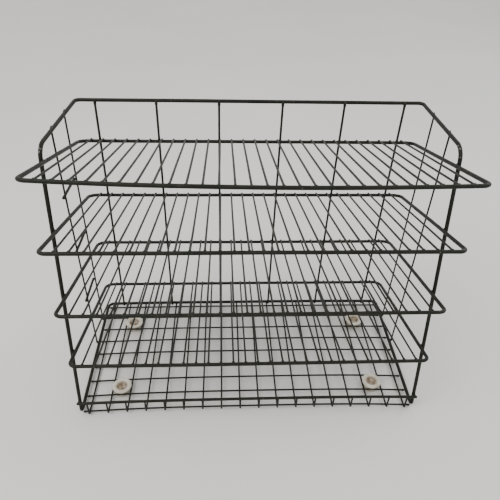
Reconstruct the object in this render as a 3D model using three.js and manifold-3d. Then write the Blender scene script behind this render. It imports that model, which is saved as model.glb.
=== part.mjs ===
// Five-level dish drying rack of welded, plastic-dipped steel wire.
// Units are millimetres, +Z is up, +X runs along the rack's width and -Y is its open front.
// While the rack is put together, Y = 0 is the front of the base loop and Z = 0 the middle of its wire.
import * as THREE from 'three';
import { mergeVertices } from 'three/addons/utils/BufferGeometryUtils.js';
import Module from 'manifold-3d';

// Wire diameters
const FRAME_WIRE = 4.1;
const RIM_WIRE = 3.9;
const FRONT_RAIL_WIRE = 3.4;
const SIDE_BAR_WIRE = 3;
const BACK_UPRIGHT_WIRE = 2.5;
const SIDE_UPRIGHT_WIRE = 1.8;
const GRID_WIRE = 1.9;
const GAP = 0.5; // between the round surfaces of wires that are welded to each other

// Main frame: one loop that makes the base, both leaning front legs and the top rails
const FRAME_WIDTH = 445;
const BASE_DEPTH = 206.8;
const FRAME_HEIGHT = 343.5;
const LEG_LEAN = THREE.MathUtils.degToRad(11.98);
const BASE_CORNER_RADIUS = 9;
const TOP_CORNER_RADIUS = 6;
const TOP_BEND_RADIUS = 16;
const FOOT_BEND_RADIUS = 5;
const TOP_LEFT_INSET = 6.5; // how far the top's back left corner is bent inwards

// Shelves, from the lowest up: tilted trays, each a rim with thin wires from front to back.
// Use has bent them a little, so their heights aren't quite even.
const SHELF_HEIGHTS = [
  { front: 100.8, back: 48.1 },
  { front: 183.1, back: 129.9 },
  { front: 268.3, back: 211.4 },
  { front: 346.8, back: 292.2 },
];
const SHELF_DEPTH = 216;
const SHELF_FRONT_RADIUS = 9;
const SHELF_BACK_RADIUS = 12;
const SHELF_WIRE_COUNT = 28;
const SHELF_WIRE_PITCH = 15;
const WELD_SINK = 0.5; // how far a shelf wire is pressed into its rim

// Back and side uprights, and the short bars on the left side
const BACK_UPRIGHT_PITCH = 78.9;
const BACK_UPRIGHT_LEANS = [5.5, 2, 1, 2.5, 2.5, 1]; // each one's top to the right of its foot
const UPRIGHT_END = 1.2; // what an upright's end stands past the middle of its rail
const SIDE_UPRIGHT_DEPTHS = { left: [122.5, 170.5], right: [118, 171.5] };
const SIDE_UPRIGHT_TOP = 0.2;
const SIDE_BAR_COUNT = 3;
const SIDE_BAR_PITCH = 84.2;
const SIDE_BAR_OVERHANG = 1.8;

// Floor grid: wires from front to back, turned up at the front, under wires from side to side
const FLOOR_WIRE_COUNT = 18;
const FLOOR_WIRE_PITCH = 25;
const FLOOR_BEND_RADIUS = 1.2;
const FLOOR_WIRE_END = 1.4; // what a floor wire's end stands past the middle of the back rail
const FRONT_RAIL_HEIGHT = 18;
const FRONT_RAIL_OVERHANG = 3.3;
const CROSS_WIRE_COUNT = 9;
const CROSS_WIRE_PITCH = 24.5;
const CROSS_WIRE_END = 3.2; // from the middle of the side rail to the wire's cut end

// Rubber feet: shallow cups with a waist that clips into one cell of the floor grid
const FOOT_RADIUS = 13.1;
const FOOT_BASE_RADIUS = 11.6;
const FOOT_CUP_RADIUS = 7.8;
const FOOT_CUP_FLOOR_RADIUS = 4.6;
const FOOT_CUP_DEPTH = 3;
const FOOT_CUP_DISH = 0.6; // how far the cup's floor and its lip are rounded
const FOOT_RISE = 3;
const FOOT_DROP = 3.6;
const FOOT_EDGE = 1.5;
const FOOT_SEGMENTS = 20;
const FOOT_CELL_X = 1.5; // in cells from the outermost floor wire
const FOOT_CELLS_Y = { front: 1.5, rear: 6.5 };

// Heights and depths that follow from the wires above
const TOP_FRONT_DEPTH = FRAME_HEIGHT * Math.tan(LEG_LEAN);
const FLOOR_HEIGHT = -(FRAME_WIRE + GRID_WIRE) / 2 - GAP;
const CROSS_HEIGHT = FLOOR_HEIGHT + GRID_WIRE + GAP;
const BACK_UPRIGHT_DEPTH = BASE_DEPTH - (FRAME_WIRE + BACK_UPRIGHT_WIRE) / 2 - GAP;
const SHELF_BACK_DEPTH = BACK_UPRIGHT_DEPTH - (BACK_UPRIGHT_WIRE + RIM_WIRE) / 2 - GAP;
const SHELF_HALF_WIDTH = FRAME_WIDTH / 2 - (FRAME_WIRE + RIM_WIRE) / 2 - GAP;
const SIDE_UPRIGHT_X = FRAME_WIDTH / 2 + (FRAME_WIRE + SIDE_UPRIGHT_WIRE) / 2 + GAP;
const SIDE_BAR_OFFSET = (SIDE_UPRIGHT_WIRE + SIDE_BAR_WIRE) / 2 + GAP;
const FRONT_RAIL_DEPTH = FRONT_RAIL_HEIGHT * Math.tan(LEG_LEAN)
  - ((FRAME_WIRE + FRONT_RAIL_WIRE) / 2 + GAP) / Math.cos(LEG_LEAN);
const FIRST_CROSS_DEPTH = FRONT_RAIL_DEPTH + GRID_WIRE + GAP;
const FLOOR_HALF_WIDTH = (FLOOR_WIRE_COUNT - 1) * FLOOR_WIRE_PITCH / 2;

const FRAME_SIDES = 8;
const THIN_SIDES = 6;
const BEND_STEPS = 4;
const SEAM_GAP = 1; // between a loop's two cut ends, inside the weld bead that joins them
const BEAD_LENGTH = 4.2;
const BEAD_GROWTH = 0.2;

const wasm = await Module();
wasm.setup();

const coatedWire = { color: 0x1f211b, roughness: 0.38, metalness: 0.0 };
const creamRubber = { color: 0xd8d0bd, roughness: 0.75, metalness: 0.0 };

const v = (x, y, z) => new THREE.Vector3(x, y, z);

// A polyline as a curve, with one step for each of its segments
class Polyline extends THREE.Curve {
  constructor(points) {
    super();
    this.points = points;
  }

  getPoint(t, target = new THREE.Vector3()) {
    const place = t * (this.points.length - 1);
    const index = Math.min(Math.floor(place + 1e-9), this.points.length - 2);
    return target.lerpVectors(this.points[index], this.points[index + 1], place - index);
  }

  getTangent(t, target = new THREE.Vector3()) {
    const index = Math.round(t * (this.points.length - 1));
    const before = this.points[Math.max(index - 1, 0)];
    const at = this.points[index];
    const after = this.points[Math.min(index + 1, this.points.length - 1)];
    const arriving = v(0, 0, 0).subVectors(at, before).normalize();
    const leaving = v(0, 0, 0).subVectors(after, at).normalize();
    return target.addVectors(arriving, leaving).normalize();
  }

  getPointAt(u, target) {
    return this.getPoint(u, target);
  }

  getTangentAt(u, target) {
    return this.getTangent(u, target);
  }
}

// The points of a round bend of the given radius where the corner between two neighbours was
function bend(before, corner, after, radius) {
  const back = v(0, 0, 0).subVectors(before, corner).normalize();
  const ahead = v(0, 0, 0).subVectors(after, corner).normalize();
  const halfAngle = back.angleTo(ahead) / 2;
  const start = corner.clone().addScaledVector(back, radius / Math.tan(halfAngle));
  const middle = v(0, 0, 0).addVectors(back, ahead).normalize();
  const centre = corner.clone().addScaledVector(middle, radius / Math.sin(halfAngle));
  const axis = v(0, 0, 0).crossVectors(back, ahead).normalize();
  const turn = Math.PI - 2 * halfAngle;
  const spoke = v(0, 0, 0).subVectors(start, centre);
  const points = [];
  for (let step = 0; step <= BEND_STEPS; step += 1) {
    const turned = spoke.clone().applyAxisAngle(axis, -turn * step / BEND_STEPS);
    points.push(turned.add(centre));
  }
  return points;
}

// A path through [point, bend radius] pairs, open at its two ends
function bentPath(corners) {
  const points = [corners[0][0]];
  for (let i = 1; i < corners.length - 1; i += 1) {
    points.push(...bend(corners[i - 1][0], corners[i][0], corners[i + 1][0], corners[i][1]));
  }
  points.push(corners[corners.length - 1][0]);
  return new Polyline(points);
}

// A polygon of the same area as the round wire
function wireSection(diameter, sides) {
  const angle = 2 * Math.PI / sides;
  const radius = diameter / 2 * Math.sqrt(angle / Math.sin(angle));
  const corners = [];
  for (let i = 0; i < sides; i += 1) {
    const a = angle * (i + 0.5);
    corners.push(new THREE.Vector2(radius * Math.cos(a), radius * Math.sin(a)));
  }
  return new THREE.Shape(corners);
}

function wire(path, diameter, sides) {
  return new THREE.ExtrudeGeometry(wireSection(diameter, sides), {
    steps: path.points.length - 1,
    extrudePath: path,
    bevelEnabled: false,
  });
}

function straightWire(from, to, diameter, sides = THIN_SIDES) {
  return wire(new Polyline([from, to]), diameter, sides);
}

function toSolid(geometry) {
  geometry.deleteAttribute('normal');
  geometry.deleteAttribute('uv');
  const merged = mergeVertices(geometry, 1e-4);
  return new wasm.Manifold(new wasm.Mesh({
    numProp: 3,
    vertProperties: new Float32Array(merged.attributes.position.array),
    triVerts: new Uint32Array(merged.index.array),
  }));
}

function toGeometry(solid) {
  const mesh = solid.getMesh();
  const geometry = new THREE.BufferGeometry();
  geometry.setAttribute('position', new THREE.BufferAttribute(mesh.vertProperties, 3));
  geometry.setIndex(new THREE.BufferAttribute(mesh.triVerts, 1));
  geometry.computeVertexNormals();
  return geometry;
}

// A loop bent from one wire whose ends meet at a weld bead in the middle of its last side
function weldedLoop(corners, diameter) {
  const last = corners[corners.length - 1][0];
  const first = corners[0][0];
  const seam = v(0, 0, 0).lerpVectors(last, first, 0.5);
  const along = v(0, 0, 0).subVectors(first, last).normalize();
  const start = seam.clone().addScaledVector(along, SEAM_GAP / 2);
  const end = seam.clone().addScaledVector(along, -SEAM_GAP / 2);
  const loop = toSolid(wire(bentPath([[start, 0], ...corners, [end, 0]]), diameter, FRAME_SIDES));
  const beadStart = seam.clone().addScaledVector(along, -BEAD_LENGTH / 2);
  const beadEnd = seam.clone().addScaledVector(along, BEAD_LENGTH / 2);
  const bead = toSolid(straightWire(beadStart, beadEnd, diameter + BEAD_GROWTH, FRAME_SIDES));
  return loop.add(bead);
}

function piece(name, geometry, finish) {
  const mesh = new THREE.Mesh(geometry, new THREE.MeshStandardMaterial(finish));
  mesh.name = name;
  return mesh;
}

function mainFrame() {
  const half = FRAME_WIDTH / 2;
  const side = (x, topBackX) => [
    [v(x, BASE_DEPTH, 0), BASE_CORNER_RADIUS],
    [v(x, 0, 0), FOOT_BEND_RADIUS],
    [v(x, TOP_FRONT_DEPTH, FRAME_HEIGHT), TOP_BEND_RADIUS],
    [v(topBackX, BASE_DEPTH, FRAME_HEIGHT), TOP_CORNER_RADIUS],
  ];
  const right = side(half, half);
  const left = side(-half, TOP_LEFT_INSET - half).reverse();
  const loop = weldedLoop([...right, ...left], FRAME_WIRE);
  return piece('main_frame_wire', toGeometry(loop), coatedWire);
}

function backUprights() {
  return BACK_UPRIGHT_LEANS.map((lean, i) => {
    const x = (i - (BACK_UPRIGHT_LEANS.length - 1) / 2) * BACK_UPRIGHT_PITCH;
    const bottom = v(x, BACK_UPRIGHT_DEPTH, -UPRIGHT_END);
    const top = v(x + lean, BACK_UPRIGHT_DEPTH, FRAME_HEIGHT + UPRIGHT_END);
    return piece(`back_upright_${i + 1}`, straightWire(bottom, top, BACK_UPRIGHT_WIRE), coatedWire);
  });
}

// The X of a side upright's middle at a height: it leans with the top rail that it is welded to
function sideUprightX(side, depth, height) {
  const along = (depth - TOP_FRONT_DEPTH) / (BASE_DEPTH - TOP_FRONT_DEPTH);
  const lean = side === 'left' ? TOP_LEFT_INSET * along * height / FRAME_HEIGHT : 0;
  return side === 'left' ? lean - SIDE_UPRIGHT_X : SIDE_UPRIGHT_X;
}

function sideUprights() {
  const pieces = [];
  for (const [side, depths] of Object.entries(SIDE_UPRIGHT_DEPTHS)) {
    for (const [i, depth] of depths.entries()) {
      const ends = [-UPRIGHT_END, FRAME_HEIGHT + SIDE_UPRIGHT_TOP];
      const [bottom, top] = ends.map((height) => v(sideUprightX(side, depth, height), depth, height));
      const name = `${side}_side_upright_${['front', 'rear'][i]}`;
      pieces.push(piece(name, straightWire(bottom, top, SIDE_UPRIGHT_WIRE), coatedWire));
    }
  }
  return pieces;
}

// Each bar runs past the outer faces of both left side uprights.
function sideBars() {
  const pieces = [];
  for (let i = 1; i <= SIDE_BAR_COUNT; i += 1) {
    const height = i * SIDE_BAR_PITCH;
    const [front, rear] = SIDE_UPRIGHT_DEPTHS.left.map(
      (depth) => v(sideUprightX('left', depth, height) - SIDE_BAR_OFFSET, depth, height),
    );
    const along = v(0, 0, 0).subVectors(rear, front).normalize();
    const from = front.addScaledVector(along, -SIDE_BAR_OVERHANG);
    const to = rear.addScaledVector(along, SIDE_BAR_OVERHANG);
    pieces.push(piece(`left_side_bar_${i}`, straightWire(from, to, SIDE_BAR_WIRE), coatedWire));
  }
  return pieces;
}

function baseFrontRail() {
  const half = FRAME_WIDTH / 2 + FRONT_RAIL_OVERHANG;
  const ends = [-half, half].map((x) => v(x, FRONT_RAIL_DEPTH, FRONT_RAIL_HEIGHT));
  return piece('base_front_rail', straightWire(ends[0], ends[1], FRONT_RAIL_WIRE, FRAME_SIDES), coatedWire);
}

function floorWires() {
  const pieces = [];
  const tip = FRONT_RAIL_HEIGHT - FRONT_RAIL_WIRE / 2 - GAP;
  for (let i = 0; i < FLOOR_WIRE_COUNT; i += 1) {
    const x = i * FLOOR_WIRE_PITCH - FLOOR_HALF_WIDTH;
    const path = bentPath([
      [v(x, BASE_DEPTH + FLOOR_WIRE_END, FLOOR_HEIGHT), 0],
      [v(x, FRONT_RAIL_DEPTH, FLOOR_HEIGHT), FLOOR_BEND_RADIUS],
      [v(x, FRONT_RAIL_DEPTH, tip), 0],
    ]);
    pieces.push(piece(`floor_wire_${i + 1}`, wire(path, GRID_WIRE, THIN_SIDES), coatedWire));
  }
  return pieces;
}

function crossWires() {
  const pieces = [];
  const half = FRAME_WIDTH / 2 - CROSS_WIRE_END;
  for (let i = 0; i < CROSS_WIRE_COUNT; i += 1) {
    const depth = FIRST_CROSS_DEPTH + i * CROSS_WIRE_PITCH;
    const across = straightWire(v(-half, depth, CROSS_HEIGHT), v(half, depth, CROSS_HEIGHT), GRID_WIRE);
    pieces.push(piece(`floor_cross_wire_${i + 1}`, across, coatedWire));
  }
  return pieces;
}

// A shelf lies flat here, with its front rim on Y = 0; its wires run just above the back rim
// and come down to the middle of the front rim.
function shelfSolid() {
  const half = SHELF_HALF_WIDTH;
  let solid = weldedLoop([
    [v(half, SHELF_DEPTH, 0), SHELF_BACK_RADIUS],
    [v(half, 0, 0), SHELF_FRONT_RADIUS],
    [v(-half, 0, 0), SHELF_FRONT_RADIUS],
    [v(-half, SHELF_DEPTH, 0), SHELF_BACK_RADIUS],
  ], RIM_WIRE);
  const backRise = (RIM_WIRE + GRID_WIRE) / 2 - WELD_SINK;
  for (let i = 0; i < SHELF_WIRE_COUNT; i += 1) {
    const x = (i - (SHELF_WIRE_COUNT - 1) / 2) * SHELF_WIRE_PITCH;
    const back = v(x, SHELF_DEPTH + RIM_WIRE / 4, backRise);
    solid = solid.add(toSolid(straightWire(v(x, WELD_SINK, WELD_SINK), back, GRID_WIRE)));
  }
  return solid;
}

function shelves() {
  const geometry = toGeometry(shelfSolid());
  return SHELF_HEIGHTS.map(({ front, back }, i) => {
    const tilt = Math.asin((front - back) / SHELF_DEPTH);
    const shelf = piece(`shelf_${i + 1}`, geometry, coatedWire);
    shelf.position.set(0, SHELF_BACK_DEPTH - SHELF_DEPTH * Math.cos(tilt), front);
    shelf.rotation.x = -tilt;
    return shelf;
  });
}

// The cup's profile, from the middle of its flat underside over the rim to the middle of its hollow
function footProfile() {
  const waist = (CROSS_WIRE_PITCH - GRID_WIRE) / 2 - GAP;
  const upperFace = CROSS_HEIGHT + GRID_WIRE / 2 + GAP;
  const lowerFace = FLOOR_HEIGHT - GRID_WIRE / 2 - GAP;
  const top = upperFace + FOOT_RISE;
  const bottom = lowerFace - FOOT_DROP;
  const cupFloor = top - FOOT_CUP_DEPTH;
  return [
    [0, bottom],
    [FOOT_BASE_RADIUS - FOOT_EDGE, bottom],
    [FOOT_BASE_RADIUS, lowerFace - FOOT_EDGE / 2],
    [waist, lowerFace],
    [waist, upperFace],
    [FOOT_RADIUS, upperFace + FOOT_EDGE / 2],
    [FOOT_RADIUS, top - FOOT_EDGE],
    [FOOT_RADIUS - FOOT_EDGE, top],
    [FOOT_CUP_RADIUS + FOOT_EDGE, top],
    [FOOT_CUP_RADIUS, top - FOOT_CUP_DISH],
    [FOOT_CUP_FLOOR_RADIUS, cupFloor + FOOT_CUP_DISH],
    [0, cupFloor],
  ].map(([r, z]) => new THREE.Vector2(r, z));
}

function feet() {
  const pieces = [];
  const lathe = new THREE.LatheGeometry(footProfile(), FOOT_SEGMENTS);
  lathe.rotateX(Math.PI / 2);
  const x = FLOOR_HALF_WIDTH - FOOT_CELL_X * FLOOR_WIRE_PITCH;
  for (const [end, cells] of Object.entries(FOOT_CELLS_Y)) {
    for (const [side, sign] of [['left', -1], ['right', 1]]) {
      const foot = piece(`rubber_foot_${end}_${side}`, lathe, creamRubber);
      foot.position.set(sign * x, FIRST_CROSS_DEPTH + cells * CROSS_WIRE_PITCH, 0);
      pieces.push(foot);
    }
  }
  return pieces;
}

const rack = new THREE.Group();
rack.add(mainFrame(), baseFrontRail(), ...backUprights(), ...sideUprights(), ...sideBars());
rack.add(...floorWires(), ...crossWires(), ...shelves(), ...feet());

// The origin of the finished rack is under the middle of its box, on the surface it stands on.
rack.updateMatrixWorld(true);
const box = new THREE.Box3().setFromObject(rack, true);
const middle = box.getCenter(v(0, 0, 0));
rack.position.set(-middle.x, -middle.y, -box.min.z);

const dishRack = new THREE.Group();
dishRack.add(rack);

export default dishRack;
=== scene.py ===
"""The looks of a five-level dish drying rack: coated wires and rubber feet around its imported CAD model.

Lengths are metres. X runs along the rack's width, -Y is its open front and Z is up.
"""
import math

import bmesh
import bpy
from mathutils import Matrix, Vector, noise


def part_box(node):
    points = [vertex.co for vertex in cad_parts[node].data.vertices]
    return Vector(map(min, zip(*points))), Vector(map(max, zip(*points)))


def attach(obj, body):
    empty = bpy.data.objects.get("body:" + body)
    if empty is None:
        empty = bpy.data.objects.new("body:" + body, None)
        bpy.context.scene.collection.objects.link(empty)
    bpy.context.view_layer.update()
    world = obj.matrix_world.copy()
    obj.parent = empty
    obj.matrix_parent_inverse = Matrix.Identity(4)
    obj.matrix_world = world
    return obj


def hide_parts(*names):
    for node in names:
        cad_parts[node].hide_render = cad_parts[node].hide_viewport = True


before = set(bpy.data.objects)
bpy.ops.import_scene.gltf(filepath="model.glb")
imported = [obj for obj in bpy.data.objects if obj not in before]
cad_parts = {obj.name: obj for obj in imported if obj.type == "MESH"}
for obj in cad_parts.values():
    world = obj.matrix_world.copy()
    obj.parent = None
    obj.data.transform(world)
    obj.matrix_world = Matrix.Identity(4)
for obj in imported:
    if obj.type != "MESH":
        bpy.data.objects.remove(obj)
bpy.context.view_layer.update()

MM = 0.001
BODY = "root"

# Wire diameters, with their coating
FRAME_WIRE = 4.1 * MM
RIM_WIRE = 3.9 * MM
FRONT_RAIL_WIRE = 3.4 * MM
SIDE_BAR_WIRE = 3 * MM
BACK_UPRIGHT_WIRE = 2.5 * MM
SIDE_UPRIGHT_WIRE = 1.8 * MM
GRID_WIRE = 1.9 * MM
# Added to every diameter for the look alone. It isn't a measured coating, which is in the
# diameters above.
LOOK_THICKENING = 0.5 * MM

# Bends of the frame's loop and of the shelves' rims
LEG_LEAN = math.radians(11.98)
TOP_LEFT_INSET = 6.5 * MM
BASE_CORNER_RADIUS = 9 * MM
TOP_CORNER_RADIUS = 6 * MM
TOP_BEND_RADIUS = 16 * MM
FOOT_BEND_RADIUS = 5 * MM
SHELF_FRONT_RADIUS = 9 * MM
SHELF_BACK_RADIUS = 12 * MM
FLOOR_BEND_RADIUS = 1.6 * MM

SHELVES = [f"shelf_{i}" for i in range(1, 5)]
SHELF_WIRE_COUNT = 28
SHELF_WIRE_PITCH = 15 * MM
SHELF_NUB = 1.9 * MM  # what a shelf wire's end stands past the middle of the back rim
BACK_UPRIGHTS = [f"back_upright_{i}" for i in range(1, 7)]
SIDE_UPRIGHTS = [f"{side}_side_upright_{end}" for side in ("left", "right") for end in ("front", "rear")]
SIDE_BARS = [f"left_side_bar_{i}" for i in range(1, 4)]
FLOOR_WIRES = [f"floor_wire_{i}" for i in range(1, 19)]
CROSS_WIRES = [f"floor_cross_wire_{i}" for i in range(1, 10)]
FEET = [f"rubber_foot_{end}_{side}" for end in ("front", "rear") for side in ("left", "right")]

# How use has bent the rack: the base's front rises between its feet, and the top shelf's front sags
BASE_BOW = 3 * MM
BASE_BOW_POWER = 3
BASE_BOW_REACH = 40 * MM
BASE_BOW_AT_BACK = 0.2  # as a share of what it is at the front
TOP_FRONT_SAG = 3 * MM
TOP_FRONT_TWIST = -2.5 * MM
TOP_FRONT_CURVE = 4.7 * MM

WORN_REACH = 22 * MM  # the coating is chipped this far from the corners of the top front bends

# Fineness of the wires' meshes
THICK_SIDES = 20
THIN_SIDES = 12
LOOP_STEP = 5 * MM
ROD_STEP = 8 * MM
ARC_STEP = math.radians(11)
DOME_ANGLES = [math.radians(a) for a in (0, 25, 48, 68, 84)]
WELD_STEPS = [d * MM for d in (-3.4, -2.3, -1.5, -0.8, 0, 0.8, 1.5, 2.3, 3.4)]
WELD_WIDTH = 1.5 * MM
WAVINESS_SEED = 1  # without it noise_vector is seeded by the clock, and each run bends the wires differently


noise.seed_set(WAVINESS_SEED)


def smoothstep(t):
    t = min(max(t, 0.0), 1.0)
    return t * t * (3 - 2 * t)


# ---------------------------------------------------------------- where the CAD pieces are


FRAME_LOW, FRAME_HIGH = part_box("main_frame_wire")
MIDDLE_X = (FRAME_LOW.x + FRAME_HIGH.x) / 2
HALF_WIDTH = (FRAME_HIGH.x - FRAME_LOW.x - FRAME_WIRE) / 2
BASE_FRONT = FRAME_LOW.y + FRAME_WIRE / 2
BASE_BACK = FRAME_HIGH.y - FRAME_WIRE / 2
BASE_Z = FRAME_LOW.z + FRAME_WIRE / 2
TOP_Z = FRAME_HIGH.z - FRAME_WIRE / 2
FOOT_X = sum(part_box("rubber_foot_front_right"), Vector()).x / 2 - MIDDLE_X


def wire_line(node):
    """The middle line of a straight CAD wire, as the middles of its two ends, the lowest coordinate first."""
    corners = {tuple(round(c, 6) for c in v.co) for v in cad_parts[node].data.vertices}
    corners = [Vector(c) for c in corners]
    middle = sum(corners, Vector()) / len(corners)
    along = max((c - middle for c in corners), key=lambda c: c.length)
    ends = []
    for sign in (-1, 1):
        side = [c for c in corners if (c - middle).dot(along) * sign > 0]
        ends.append(sum(side, Vector()) / len(side))
    return sorted(ends, key=lambda end: sum(end))


def leg_y(z):
    return BASE_FRONT + (z - BASE_Z) * math.tan(LEG_LEAN)


class Tray:
    """A shelf's own frame: x from its middle, depth from its front rim, height above its plane."""

    def __init__(self, node):
        low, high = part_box(node)
        radius = RIM_WIRE / 2
        self.front = Vector((MIDDLE_X, low.y + radius, high.z - radius))
        back = Vector((MIDDLE_X, high.y - radius, low.z + radius))
        self.half = (high.x - low.x) / 2 - radius
        self.depth = (back - self.front).length
        self.along = (back - self.front).normalized()
        self.up = Vector((1, 0, 0)).cross(self.along)
        self.bent = node == SHELVES[-1]

    def at(self, x, depth, height=0.0):
        point = self.front + Vector((x, 0, 0)) + self.along * depth + self.up * height
        if self.bent:
            point.z += self.front_bend(x) * (1 - depth / self.depth)
        return point

    def front_bend(self, x):
        share = x / self.half
        return TOP_FRONT_TWIST * share + TOP_FRONT_CURVE * share * share - TOP_FRONT_SAG

    def depth_at(self, y):
        return (y - self.front.y) / self.along.y


TRAYS = {node: Tray(node) for node in SHELVES}


def settled(point):
    """Where use has moved a point of the base: the legs' load bends it down outside the feet."""
    share = abs(point.x - MIDDLE_X) / FOOT_X
    near = smoothstep(1 - (point.z - BASE_Z) / BASE_BOW_REACH)
    near *= 1 - (1 - BASE_BOW_AT_BACK) * smoothstep((point.y - BASE_FRONT) / (BASE_BACK - BASE_FRONT))
    return point + Vector((0, 0, BASE_BOW * (1 - share**BASE_BOW_POWER) * near))


# ---------------------------------------------------------------- wires


def swayed(point, seed, amount):
    """The slight waviness of a real wire."""
    return point + noise.noise_vector(point * 9 + Vector((seed * 7.3, seed * 3.1, 0))) * amount


def coated(point, radius):
    """A wire's drawn radius, a little thicker here and thinner there as a dipped coating is."""
    unevenness = 0.035 * noise.noise(point * 110) + 0.015 * noise.noise(point * 420)
    return (radius + LOOK_THICKENING / 2) * (1 + unevenness)


def arc(before, corner, after, radius):
    """Points of the round bend where the corner between two neighbours was."""
    back = (before - corner).normalized()
    ahead = (after - corner).normalized()
    half = back.angle(ahead) / 2
    start = corner + back * (radius / math.tan(half))
    centre = corner + (back + ahead).normalized() * (radius / math.sin(half))
    axis = back.cross(ahead).normalized()
    turn = math.pi - 2 * half
    count = max(2, math.ceil(turn / ARC_STEP))
    spoke = start - centre
    return [centre + Matrix.Rotation(-turn * i / count, 3, axis) @ spoke for i in range(count + 1)]


def route(corners, step, closed=False):
    """Points along a wire through (corner, bend radius) pairs."""
    turns = []
    for i, (corner, radius) in enumerate(corners):
        if closed or 0 < i < len(corners) - 1:
            turns.append(arc(corners[i - 1][0], corner, corners[(i + 1) % len(corners)][0], radius))
        else:
            turns.append([corner])
    points = []
    for i, turn in enumerate(turns):
        points += turn
        if closed or i + 1 < len(turns):
            span = turns[(i + 1) % len(turns)][0] - turn[-1]
            count = max(1, round(span.length / step))
            points += [turn[-1] + span * (k / count) for k in range(1, count)]
    return points


def tangents_of(points, closed):
    count = len(points)
    tangents = []
    for i in range(count):
        before = points[i - 1] if closed or i else points[i]
        after = points[(i + 1) % count] if closed or i < count - 1 else points[i]
        tangents.append((after - before).normalized())
    return tangents


def sweep(bm, points, radii, sides, closed=False):
    """Adds a round wire to the mesh."""
    tangents = tangents_of(points, closed)
    normals = [tangents[0].orthogonal().normalized()]
    for before, tangent in zip(tangents, tangents[1:]):
        normal = before.rotation_difference(tangent) @ normals[-1]
        normals.append((normal - tangent * normal.dot(tangent)).normalized())
    twist = 0.0
    if closed:
        last = tangents[-1].rotation_difference(tangents[0]) @ normals[-1]
        twist = math.atan2(last.cross(normals[0]).dot(tangents[0]), last.dot(normals[0]))
    rings = []
    for i, (point, radius, tangent, normal) in enumerate(zip(points, radii, tangents, normals)):
        normal = Matrix.Rotation(twist * i / len(points), 3, tangent) @ normal
        across = tangent.cross(normal)
        angles = [2 * math.pi * k / sides for k in range(sides)]
        spokes = [normal * math.cos(a) + across * math.sin(a) for a in angles]
        rings.append([bm.verts.new(point + spoke * radius) for spoke in spokes])
    for ring, after in zip(rings, rings[1:] + (rings[:1] if closed else [])):
        for k in range(sides):
            bm.faces.new((ring[k], ring[k - sides + 1], after[k - sides + 1], after[k]))
    if not closed:
        bm.faces.new(list(reversed(rings[0])))
        bm.faces.new(rings[-1])


def domed(points, radii):
    """Rounds off both ends of an open wire."""
    head, tail = [], []
    for ends, end, inner, radius in ((head, points[0], points[1], radii[0]),
                                     (tail, points[-1], points[-2], radii[-1])):
        inward = (inner - end).normalized()
        for angle in DOME_ANGLES:
            ends.append((end + inward * radius * (1 - math.sin(angle)), radius * math.cos(angle)))
    shaft = list(zip(points[1:-1], radii[1:-1]))
    whole = head[::-1] + shaft + tail
    return [p for p, r in whole], [r for p, r in whole]


def rod(bm, start, end, diameter, sides, welds=(), seed=0.0, sway=0.25 * MM, shape=None):
    """A straight wire. welds are (distance from start, swelling as a share of the radius)."""
    length = (end - start).length
    count = max(2, round(length / ROD_STEP))
    stations = {length * i / count for i in range(count + 1)}
    for place, swelling in welds:
        stations |= {place + step for step in WELD_STEPS if diameter < place + step < length - diameter}
    points, radii = [], []
    for station in sorted(stations):
        point = swayed(start.lerp(end, station / length), seed, sway)
        points.append(shape(point) if shape else point)
        swell = sum(s * math.exp(-(((station - place) / WELD_WIDTH) ** 2)) for place, s in welds)
        radii.append(coated(point + Vector((seed, 0, 0)), diameter / 2) * (1 + swell))
    sweep(bm, *domed(points, radii), sides)


def bead(bm, centre, first, second, size):
    """A drop of weld and coating between two wires, drawn out along first and second."""
    first = first.normalized()
    third = first.cross(second).normalized()
    second = third.cross(first)
    axes = Matrix([first * size[0], second * size[1], third * size[2]]).transposed().to_4x4()
    bmesh.ops.create_icosphere(bm, subdivisions=2, radius=1, matrix=Matrix.Translation(centre) @ axes)


def new_piece(name, bm, material, *replaced):
    mesh = bpy.data.meshes.new(name)
    bm.to_mesh(mesh)
    bm.free()
    for polygon in mesh.polygons:
        polygon.use_smooth = True
    mesh.materials.append(material)
    piece = bpy.data.objects.new(name, mesh)
    bpy.context.scene.collection.objects.link(piece)
    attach(piece, BODY)
    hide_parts(*replaced)
    return piece


# ---------------------------------------------------------------- materials


WEAR_FLECKS = 0.15  # how much nearer to a fleck the noise comes where the coating is most worn


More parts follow.
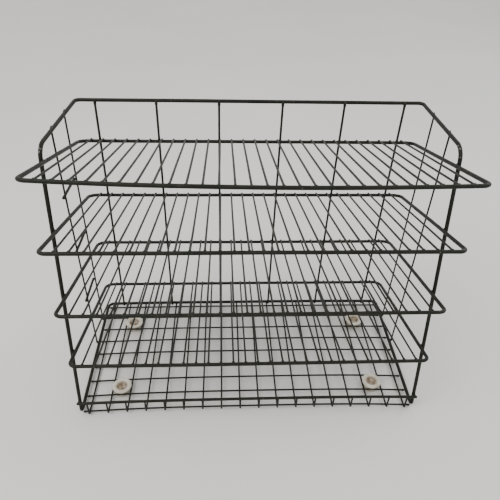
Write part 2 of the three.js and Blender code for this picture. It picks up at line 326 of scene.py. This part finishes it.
class Nodes:
    """Short names for a material's nodes and links."""

    def __init__(self, name):
        self.material = bpy.data.materials.new(name)
        self.material.use_nodes = True
        self.tree = self.material.node_tree
        self.shader = self.tree.nodes["Principled BSDF"]

    def add(self, kind, inputs=None, **settings):
        node = self.tree.nodes.new(kind)
        for key, value in settings.items():
            setattr(node, key, value)
        for key, value in (inputs or {}).items():
            if isinstance(value, bpy.types.NodeSocket):
                self.tree.links.new(value, node.inputs[key])
            else:
                node.inputs[key].default_value = value
        return node

    def noise(self, scale, detail=3.0, roughness=0.55):
        place = self.add("ShaderNodeTexCoord").outputs["Object"]
        inputs = {"Vector": place, "Scale": scale, "Detail": detail, "Roughness": roughness}
        return self.add("ShaderNodeTexNoise", inputs).outputs["Fac"]

    def between(self, value, low, high, to_low=0.0, to_high=1.0):
        inputs = {"Value": value, "From Min": low, "From Max": high, "To Min": to_low, "To Max": to_high}
        return self.add("ShaderNodeMapRange", inputs, clamp=True).outputs["Result"]

    def times(self, a, b):
        return self.add("ShaderNodeMath", {0: a, 1: b}, operation="MULTIPLY").outputs[0]

    def mix(self, factor, a, b):
        node = self.add("ShaderNodeMix", data_type="RGBA")
        for socket, value in ((node.inputs[0], factor), (node.inputs[6], a), (node.inputs[7], b)):
            if isinstance(value, bpy.types.NodeSocket):
                self.tree.links.new(value, socket)
            else:
                socket.default_value = value
        return node.outputs[2]

    def bump(self, height, strength, distance, normal=None):
        inputs = {"Height": height, "Strength": strength, "Distance": distance}
        if normal:
            inputs["Normal"] = normal
        return self.add("ShaderNodeBump", inputs).outputs["Normal"]

    def upward(self):
        """How much a surface faces up, from 0 to 1."""
        normal = self.add("ShaderNodeNewGeometry").outputs["Normal"]
        z = self.add("ShaderNodeSeparateXYZ", {"Vector": normal}).outputs["Z"]
        return self.between(z, 0.1, 0.95)

    def finish(self, **links):
        for key, value in links.items():
            self.tree.links.new(value, self.shader.inputs[key.replace("_", " ")])
        return self.material


def coated_wire():
    """Black-green plastic dip: satin, uneven, with dust on top and a few worn flecks."""
    n = Nodes("coated_wire")
    tint = n.mix(n.between(n.noise(70), 0.35, 0.65), (0.0055, 0.0066, 0.004, 1), (0.0125, 0.0142, 0.0092, 1))
    warm = n.mix(n.between(n.noise(22, 2), 0.5, 0.75, 0, 0.5), tint, (0.017, 0.0125, 0.007, 1))
    dust = n.times(n.upward(), n.between(n.noise(160, 5, 0.7), 0.45, 0.72, 0.02, 0.2))
    dusty = n.mix(dust, warm, (0.07, 0.068, 0.054, 1))
    wear = n.add("ShaderNodeAttribute", attribute_name="wear").outputs["Fac"]
    fleck_inputs = {0: n.noise(520, 1.0, 0.4), 1: n.times(wear, WEAR_FLECKS)}
    fleck_at = n.add("ShaderNodeMath", fleck_inputs, operation="ADD")
    flecks = n.between(fleck_at.outputs[0], 0.775, 0.8)
    colour = n.mix(n.times(flecks, 0.85), dusty, (0.24, 0.225, 0.19, 1))
    roughness = n.between(n.noise(240, 4, 0.6), 0.3, 0.7, 0.36, 0.56)
    orange_peel = n.bump(n.noise(900, 2), 0.35, 0.05 * MM)
    lumps = n.bump(n.noise(190, 3), 0.5, 0.12 * MM, orange_peel)
    n.shader.inputs["IOR"].default_value = 1.45
    n.shader.inputs["Specular IOR Level"].default_value = 0.22
    return n.finish(Base_Color=colour, Roughness=roughness, Normal=lumps)


def cream_rubber():
    """Aged cream rubber, dirty brown in its cup, with the same browns painted low down as shade under the
    ring.
    """
    n = Nodes("cream_rubber")
    # The attribute read here holds real dirt in the cup and painted shade low on the foot, under the ring.
    dirt_and_shade = n.add("ShaderNodeAttribute", attribute_name="dirt_and_shade").outputs["Fac"]
    clean = n.mix(n.between(n.noise(90, 4), 0.35, 0.65), (0.56, 0.51, 0.4, 1), (0.76, 0.73, 0.64, 1))
    cloudy = n.mix(n.between(n.noise(35, 3), 0.5, 0.7, 0, 0.35), clean, (0.46, 0.38, 0.26, 1))
    patchy = n.times(dirt_and_shade, n.between(n.noise(260, 5, 0.65), 0.3, 0.62, 0.45, 1.0))
    crumbs = n.between(n.noise(700, 4, 0.7), 0.35, 0.65)
    dirt_and_shade_colour = n.mix(crumbs, (0.075, 0.04, 0.016, 1), (0.25, 0.165, 0.085, 1))
    colour = n.mix(patchy, cloudy, dirt_and_shade_colour)
    roughness = n.between(n.noise(200, 3), 0.3, 0.7, 0.55, 0.8)
    grains = n.bump(n.noise(1500, 3), 0.4, 0.08 * MM)
    dents = n.bump(n.noise(170, 3), 0.5, 0.25 * MM, grains)
    return n.finish(Base_Color=colour, Roughness=roughness, Normal=dents)


def pale_floor():
    n = Nodes("pale_floor")
    colour = n.mix(n.between(n.noise(1.5, 4), 0.3, 0.7), (0.74, 0.725, 0.7, 1), (0.79, 0.775, 0.755, 1))
    n.shader.inputs["Roughness"].default_value = 0.62
    return n.finish(Base_Color=colour)


WIRE = coated_wire()
RUBBER = cream_rubber()


# ---------------------------------------------------------------- the rack's wires


def main_frame():
    bm = bmesh.new()
    top_front = leg_y(TOP_Z)

    def side(x, top_back_x):
        return [
            (Vector((x, BASE_BACK, BASE_Z)), BASE_CORNER_RADIUS),
            (Vector((x, BASE_FRONT, BASE_Z)), FOOT_BEND_RADIUS),
            (Vector((x, top_front, TOP_Z)), TOP_BEND_RADIUS),
            (Vector((top_back_x, BASE_BACK, TOP_Z)), TOP_CORNER_RADIUS),
        ]

    right_x, left_x = MIDDLE_X + HALF_WIDTH, MIDDLE_X - HALF_WIDTH
    loop = side(right_x, right_x) + side(left_x, left_x + TOP_LEFT_INSET)[::-1]
    points = [settled(swayed(p, 1.0, 0.3 * MM)) for p in route(loop, LOOP_STEP, closed=True)]
    sweep(bm, points, [coated(p, FRAME_WIRE / 2) for p in points], THICK_SIDES, closed=True)
    wear = bm.verts.layers.float.new("wear")
    for vert in bm.verts:
        bend = Vector((right_x if vert.co.x > MIDDLE_X else left_x, top_front, TOP_Z))
        vert[wear] = smoothstep(1 - (vert.co - bend).length / WORN_REACH)
    seam = settled(Vector((MIDDLE_X, BASE_BACK, BASE_Z)))
    bead(bm, seam, Vector((1, 0, 0)), Vector((0, 1, 0)), [s * MM for s in (3.4, 2.35, 2.3)])
    return new_piece("frame_loop", bm, WIRE, "main_frame_wire")


def base_front_rail():
    bm = bmesh.new()
    start, end = wire_line("base_front_rail")
    rod(bm, start, end, FRONT_RAIL_WIRE, THICK_SIDES, seed=2.0, shape=settled)
    for x in (MIDDLE_X - HALF_WIDTH, MIDDLE_X + HALF_WIDTH):
        leg = Vector((x, leg_y(start.z), start.z))
        rail = Vector((x, start.y, start.z))
        bead(bm, settled(leg.lerp(rail, 0.5)), Vector((1, 0, 0)), Vector((0, 0, 1)),
             [s * MM for s in (2.3, 2.3, 2.1)])
    return new_piece("front_rail", bm, WIRE, "base_front_rail")


def back_upright(node, number):
    """Swells a little where it is welded to the rails and to each shelf's back rim."""
    bm = bmesh.new()
    foot, head = wire_line(node)
    rims = [TRAYS[shelf].at(0, TRAYS[shelf].depth).z for shelf in SHELVES]
    heights = [BASE_Z + 1 * MM, *rims, TOP_Z - 2.6 * MM]
    welds = [(z - foot.z, 0.3) for z in heights]
    rod(bm, foot, head, BACK_UPRIGHT_WIRE, THIN_SIDES, welds, seed=3 + number, shape=settled)
    across = Vector((1, 0, 0))
    for z, rail_y in ((BASE_Z, BASE_BACK), (TOP_Z, BASE_BACK), *((rim, None) for rim in rims)):
        point = foot.lerp(head, (z - foot.z) / (head.z - foot.z))
        gap = (BACK_UPRIGHT_WIRE / 2 + 0.2 * MM) * (1 if rail_y else -1)
        bead(bm, settled(point + Vector((0, gap, 0))), across, Vector((0, 0, 1)),
             [s * MM for s in (1.7, 1.8, 1.2)])
    return new_piece(node + "_wire", bm, WIRE, node)


def side_upright(node, number):
    bm = bmesh.new()
    foot, head = wire_line(node)
    welds = [(BASE_Z - foot.z + 2.4 * MM, 0.4), (TOP_Z - foot.z - 2.6 * MM, 0.5)]
    rod(bm, foot, head, SIDE_UPRIGHT_WIRE, THIN_SIDES, welds, seed=11 + number, shape=settled)
    inward = Vector((1 if foot.x < MIDDLE_X else -1, 0, 0))
    for z in (BASE_Z, TOP_Z):
        point = foot.lerp(head, (z - foot.z) / (head.z - foot.z))
        bead(bm, settled(point + inward * SIDE_UPRIGHT_WIRE / 2), Vector((0, 1, 0)), Vector((0, 0, 1)),
             [s * MM for s in (1.5, 2.1, 1.2)])
    return new_piece(node + "_wire", bm, WIRE, node)


def side_bar(node, number):
    bm = bmesh.new()
    front, rear = wire_line(node)
    rod(bm, front, rear, SIDE_BAR_WIRE, THIN_SIDES, seed=17 + number)
    for upright in SIDE_UPRIGHTS[:2]:
        foot, head = wire_line(upright)
        crossing = foot.lerp(head, (front.z - foot.z) / (head.z - foot.z))
        on_bar = front.lerp(rear, (crossing.y - front.y) / (rear.y - front.y))
        bead(bm, crossing.lerp(on_bar, 0.45), Vector((0, 1, 0)), Vector((0, 0, 1)),
             [s * MM for s in (1.6, 1.7, 1.3)])
    return new_piece(node + "_wire", bm, WIRE, node)


def floor_wire(node, number):
    """Runs under the cross wires and the back rail, and turns up to the front rail."""
    bm = bmesh.new()
    low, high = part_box(node)
    radius = GRID_WIRE / 2
    x = (low.x + high.x) / 2
    path = [
        (Vector((x, high.y, low.z + radius)), 0),
        (Vector((x, low.y + radius, low.z + radius)), FLOOR_BEND_RADIUS),
        (Vector((x, low.y + radius, high.z + FRONT_RAIL_WIRE / 3)), 0),
    ]
    bare = [swayed(p, 23 + number, 0.2 * MM) for p in route(path, ROD_STEP)]
    radii = [coated(p + Vector((number, 0, 0)), radius) for p in bare]
    sweep(bm, *domed([settled(p) for p in bare], radii), THIN_SIDES)
    for cross in CROSS_WIRES:
        start, end = wire_line(cross)
        crossing = Vector((x, start.y, (start.z + low.z + radius) / 2))
        bead(bm, settled(crossing), Vector((1, 0, 0)), Vector((0, 1, 0)), [s * MM for s in (1.15, 1.15, 1.3)])
    rail = Vector((x, BASE_BACK, (BASE_Z - FRAME_WIRE / 2 + low.z + 2 * radius) / 2))
    bead(bm, settled(rail), Vector((1, 0, 0)), Vector((0, 1, 0)), [s * MM for s in (1.3, 1.6, 1.0)])
    return new_piece(node + "_rod", bm, WIRE, node)


def cross_wire(node, number):
    """Butts on both side rails, with a small collar of coating at each end."""
    bm = bmesh.new()
    start, end = wire_line(node)
    reach = Vector((1.2 * MM, 0, 0))
    start, end = start - reach, end + reach
    length = end.x - start.x
    welds = [(2.1 * MM, 0.45), (length - 2.1 * MM, 0.45)]
    rod(bm, start, end, GRID_WIRE, THIN_SIDES, welds, seed=43 + number, sway=0.2 * MM, shape=settled)
    return new_piece(node + "_rod", bm, WIRE, node)


def shelf(node):
    """A rim bent from one wire, and thin wires that run from its front to on top of its back."""
    bm = bmesh.new()
    tray = TRAYS[node]
    corners = [
        (Vector((tray.half, tray.depth, 0)), SHELF_BACK_RADIUS),
        (Vector((tray.half, 0, 0)), SHELF_FRONT_RADIUS),
        (Vector((-tray.half, 0, 0)), SHELF_FRONT_RADIUS),
        (Vector((-tray.half, tray.depth, 0)), SHELF_BACK_RADIUS),
    ]
    seed = 60 + SHELVES.index(node) * 40
    rim = [swayed(tray.at(p.x, p.y), seed, 0.3 * MM) for p in route(corners, LOOP_STEP, closed=True)]
    sweep(bm, rim, [coated(p, RIM_WIRE / 2) for p in rim], THICK_SIDES, closed=True)
    bead(bm, tray.at(0, tray.depth), Vector((1, 0, 0)), tray.along, [s * MM for s in (3.2, 2.2, 2.15)])
    rise = (RIM_WIRE + GRID_WIRE) / 2 - 0.5 * MM
    for i in range(SHELF_WIRE_COUNT):
        x = (i - (SHELF_WIRE_COUNT - 1) / 2) * SHELF_WIRE_PITCH
        start, end = tray.at(x, 0.5 * MM, 0.5 * MM), tray.at(x, tray.depth + SHELF_NUB, rise)
        length = (end - start).length
        welds = [(1.9 * MM, 0.75), (length - SHELF_NUB - 1.6 * MM, 0.3)]
        rod(bm, start, end, GRID_WIRE, THIN_SIDES, welds, seed=seed + 1 + i)
        seat = tray.at(x, tray.depth, rise / 2 + 0.5 * MM)
        bead(bm, seat, Vector((1, 0, 0)), tray.along, [s * MM for s in (1.25, 1.9, 1.2)])
    for sign in (-1, 1):
        depth = 0.0
        for _ in range(8):  # settles on the depth where the side rim passes the leaning leg
            depth = tray.depth_at(leg_y(tray.at(0, depth).z))
        crossing = tray.at(sign * (tray.half + RIM_WIRE / 2 + 0.2 * MM), depth)
        leg = Vector((0, math.sin(LEG_LEAN), math.cos(LEG_LEAN)))
        bead(bm, crossing, leg, tray.along, [s * MM for s in (2.6, 2.6, 1.3)])
    return new_piece(node + "_tray", bm, WIRE, node)


# ---------------------------------------------------------------- feet


FOOT_SEGMENTS = 56
FOOT_WAIST_RADIUS = 10.8 * MM
FOOT_BASE_RADIUS = 11.6 * MM
CUP_RADIUS = 7.8 * MM
CUP_DEPTH = 3.7 * MM
PROFILE_ROUNDS = 3


def rounded_profile(points, rounds):
    """Cuts the corners of a profile again and again, so that it becomes a smooth curve."""
    for _ in range(rounds):
        cut = [points[0]]
        for a, b in zip(points, points[1:]):
            cut += [a.lerp(b, 0.25), a.lerp(b, 0.75)]
        points = cut + [points[-1]]
    return points


def foot(node, number):
    """A ring-lipped shallow cup with a waist that grips the grid wires round its cell."""
    low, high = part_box(node)
    middle = (low + high) / 2
    radius = (high.x - low.x) / 2
    grip_low = wire_line(CROSS_WIRES[1])[0].z - GRID_WIRE * 2
    grip_high = wire_line(CROSS_WIRES[1])[0].z + GRID_WIRE * 0.75
    waist = FOOT_WAIST_RADIUS
    base = FOOT_BASE_RADIUS
    lip = high.z
    profile = [Vector(p) for p in (
        (0, low.z), (base - 1.5 * MM, low.z), (base, low.z + 0.8 * MM), (base, grip_low - 0.3 * MM),
        (waist, grip_low), (waist, grip_high), (radius - 0.6 * MM, grip_high + 0.1 * MM),
        (radius, grip_high + 1.1 * MM), (radius - 0.5 * MM, lip - 0.5 * MM), (radius - 2.4 * MM, lip),
        (CUP_RADIUS + 1.4 * MM, lip - 0.1 * MM), (CUP_RADIUS, lip - 0.9 * MM),
        (CUP_RADIUS - 1.6 * MM, lip - CUP_DEPTH + 0.5 * MM), (CUP_RADIUS - 3.6 * MM, lip - CUP_DEPTH),
        (1.6 * MM, lip - CUP_DEPTH + 0.15 * MM), (0, lip - CUP_DEPTH + 0.15 * MM),
    )]
    profile = rounded_profile(profile, PROFILE_ROUNDS)
    bm = bmesh.new()
    # Per vertex: real dirt in the cup, and painted shade low down under the ring.
    dirt_and_shade = bm.verts.layers.float.new("dirt_and_shade")

    def vertex(r, z, angle, inside):
        wobble = noise.noise(Vector((math.cos(angle), math.sin(angle), number + z * 300))) * 0.025
        spread = Vector((math.cos(angle), math.sin(angle), 0)) * r * (1 + wobble)
        vert = bm.verts.new(Vector((middle.x, middle.y, z)) + spread)
        in_cup = smoothstep((CUP_RADIUS + 0.6 * MM - r) / (2 * MM)) if inside else 0.0
        # Painted shade: the rubber is browned below the grip, where the ring above shades it.
        shade_under_ring = 0.55 * smoothstep((grip_high - z) / (3 * MM))
        vert[dirt_and_shade] = max(in_cup * (0.95 + 0.35 * noise.noise(vert.co * 260)), shade_under_ring)
        return vert

    angles = [2 * math.pi * k / FOOT_SEGMENTS for k in range(FOOT_SEGMENTS)]
    lip_at = max(range(len(profile)), key=lambda i: profile[i].y)
    rings = [[vertex(p.x, p.y, a, i > lip_at) for a in angles] for i, p in enumerate(profile)][1:-1]
    under, cup = vertex(0, profile[0].y, 0, False), vertex(0, profile[-1].y, 0, True)
    for ring, after in zip(rings, rings[1:]):
        for k in range(FOOT_SEGMENTS):
            n = k - FOOT_SEGMENTS + 1
            bm.faces.new((ring[k], ring[n], after[n], after[k]))
    for k in range(FOOT_SEGMENTS):
        n = k - FOOT_SEGMENTS + 1
        bm.faces.new((under, rings[0][n], rings[0][k]))
        bm.faces.new((cup, rings[-1][k], rings[-1][n]))
    return new_piece(node + "_cup", bm, RUBBER, node)


# ---------------------------------------------------------------- camera, floor and light


CAMERA_SENSOR = 36.0
CAMERA_LENS = 36.05
CAMERA_PITCH = math.radians(36.998)
CAMERA_YAW = math.radians(3.758)
CAMERA_ROLL = math.radians(-1.972)
CAMERA_FROM_BASE = Vector((-0.033454, -0.410044, 0.573691))  # from the middle of the base's front


def camera():
    sight = Vector((math.sin(CAMERA_YAW) * math.cos(CAMERA_PITCH),
                    math.cos(CAMERA_YAW) * math.cos(CAMERA_PITCH), -math.sin(CAMERA_PITCH)))
    level = Vector((math.cos(CAMERA_YAW), -math.sin(CAMERA_YAW), 0))
    down = sight.cross(level)
    right = level * math.cos(CAMERA_ROLL) + down * math.sin(CAMERA_ROLL)
    up = level * math.sin(CAMERA_ROLL) - down * math.cos(CAMERA_ROLL)
    eye = Vector((MIDDLE_X, BASE_FRONT, BASE_Z)) + CAMERA_FROM_BASE
    data = bpy.data.cameras.new("camera")
    data.sensor_width = CAMERA_SENSOR
    data.lens = CAMERA_LENS
    turned = Matrix([right, up, -sight]).transposed().to_4x4()
    eye_piece = bpy.data.objects.new("camera", data)
    eye_piece.matrix_world = Matrix.Translation(eye) @ turned
    bpy.context.scene.collection.objects.link(eye_piece)
    bpy.context.scene.camera = eye_piece


def floor():
    bm = bmesh.new()
    bmesh.ops.create_grid(bm, x_segments=2, y_segments=2, size=20)
    mesh = bpy.data.meshes.new("floor")
    bm.to_mesh(mesh)
    bm.free()
    mesh.materials.append(pale_floor())
    ground = bpy.data.objects.new("floor", mesh)
    bpy.context.scene.collection.objects.link(ground)


def area_light(name, place, target, size, power, colour):
    data = bpy.data.lights.new(name, "AREA")
    data.shape = "DISK"
    data.size = size
    data.energy = power
    data.color = colour
    lamp = bpy.data.objects.new(name, data)
    lamp.location = place
    lamp.rotation_euler = (Vector(target) - Vector(place)).to_track_quat("-Z", "Y").to_euler()
    bpy.context.scene.collection.objects.link(lamp)


def lights():
    world = bpy.data.worlds.new("studio")
    world.use_nodes = True
    background = world.node_tree.nodes["Background"]
    background.inputs["Color"].default_value = (0.97, 0.975, 0.965, 1)
    background.inputs["Strength"].default_value = 1.0
    bpy.context.scene.world = world
    area_light("key", (-1.1, -0.7, 1.9), (0, 0, 0.15), 1.3, 26, (1.0, 0.97, 0.92))
    area_light("fill", (1.5, 0.6, 1.5), (0, 0, 0.2), 1.4, 10, (0.93, 0.96, 1.0))


# ---------------------------------------------------------------- everything together


camera()
floor()
lights()

wires = [main_frame(), base_front_rail()]
for make, nodes in ((back_upright, BACK_UPRIGHTS), (side_upright, SIDE_UPRIGHTS), (side_bar, SIDE_BARS),
                    (floor_wire, FLOOR_WIRES), (cross_wire, CROSS_WIRES)):
    wires += [make(node, number) for number, node in enumerate(nodes)]
wires += [shelf(node) for node in SHELVES]
for piece in [foot(node, number) for number, node in enumerate(FEET)]:
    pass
